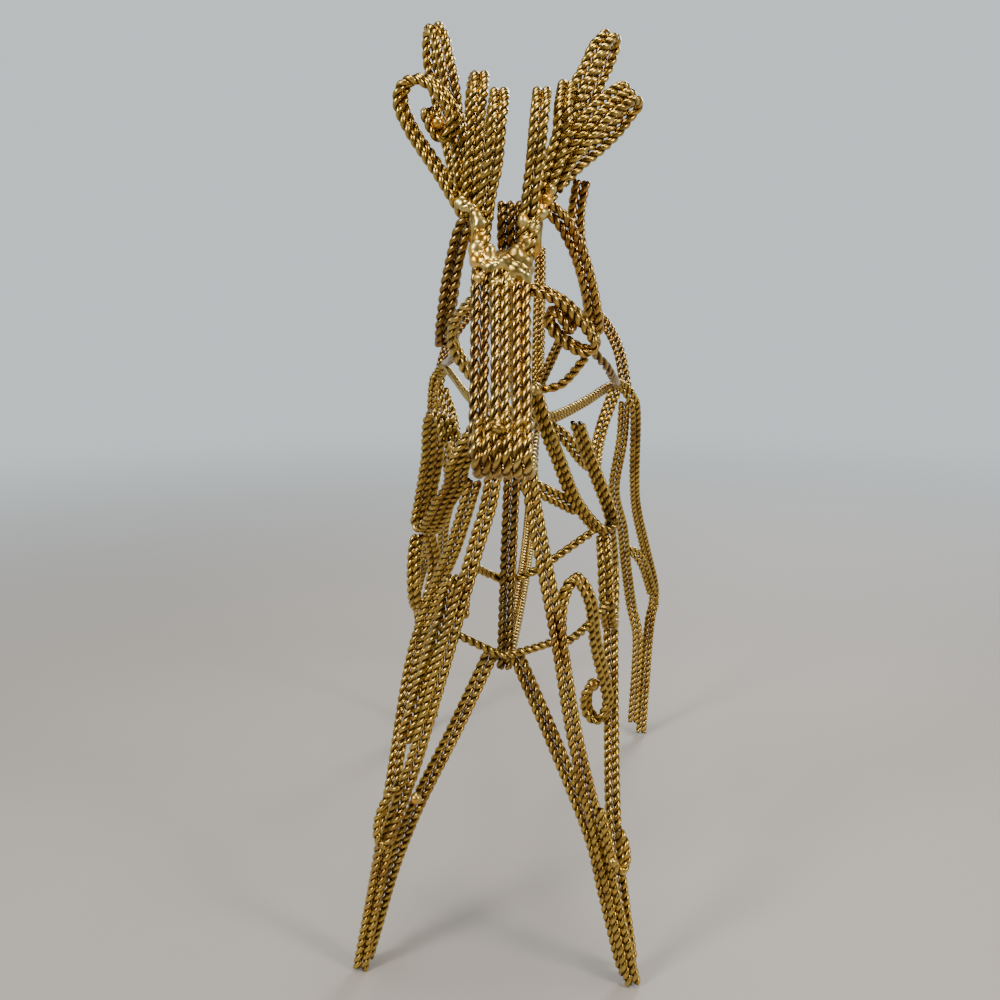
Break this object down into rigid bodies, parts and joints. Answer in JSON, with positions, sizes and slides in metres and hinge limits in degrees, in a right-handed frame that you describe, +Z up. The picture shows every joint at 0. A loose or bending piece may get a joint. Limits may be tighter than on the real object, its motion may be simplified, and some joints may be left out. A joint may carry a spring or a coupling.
{
  "type": "wire rope reindeer figure",
  "caption": "Standing reindeer ornament bent from twisted brass rope, with looped antlers, leaf ears, scrolled chest and an upright loop tail, brazed at the joints.",
  "frame": {"origin": "on the ground, under the middle of the box around the whole figure", "axes": "+Z up through the antlers, -Y the way the nose points, +X to the side of the antler that leans out furthest with two leaves"},
  "size_m": [0.1382, 0.3026, 0.3299],
  "materials": {
    "rope": "twisted drawn wire, aged antique gold with brown tarnish in the twist",
    "braze": "run and set braze, smooth and brighter than the rope"
  },
  "bodies": {
    "root": {"crown_braze": "braze", "right_front_leg": "rope", "left_front_leg": "rope", "right_front_leg_rear": "rope", "left_front_leg_rear": "rope", "right_hind_leg": "rope", "left_hind_leg": "rope", "right_thigh_band": "rope", "left_thigh_band": "rope", "bridge_band": "rope", "right_cheek_band": "rope", "left_cheek_band": "rope", "muzzle_wrap": "rope", "poll_arch": "rope", "spine_band": "rope", "tail_loop": "rope", "keel_band": "rope", "belly_band": "rope", "right_knee_brace": "rope", "left_knee_brace": "rope", "right_shoulder_loop": "rope", "left_shoulder_loop": "rope", "right_elbow_loop": "rope", "left_elbow_loop": "rope", "right_chest_scroll": "rope", "left_chest_scroll": "rope", "chest_tie": "rope", "breast_tie": "rope", "keel_tie": "rope", "elbow_tie": "rope", "right_topline": "rope", "left_topline": "rope", "right_flank_drop": "rope", "left_flank_drop": "rope", "right_hock_arch": "rope", "left_hock_arch": "rope", "right_knee_hook": "rope", "left_knee_hook": "rope", "right_rump_arch": "rope", "left_rump_arch": "rope", "right_antler_front_tine": "rope", "left_antler_front_tine": "rope", "right_antler_second_tine": "rope", "left_antler_second_tine": "rope", "right_antler_third_tine": "rope", "left_antler_third_tine": "rope", "right_antler_rear_tine": "rope", "left_antler_rear_tine": "rope", "right_ear": "rope", "left_ear": "rope", "right_eye_scroll": "rope", "right_cheek_stay": "rope", "left_eye_scroll": "rope"}
  },
  "joints": []
}
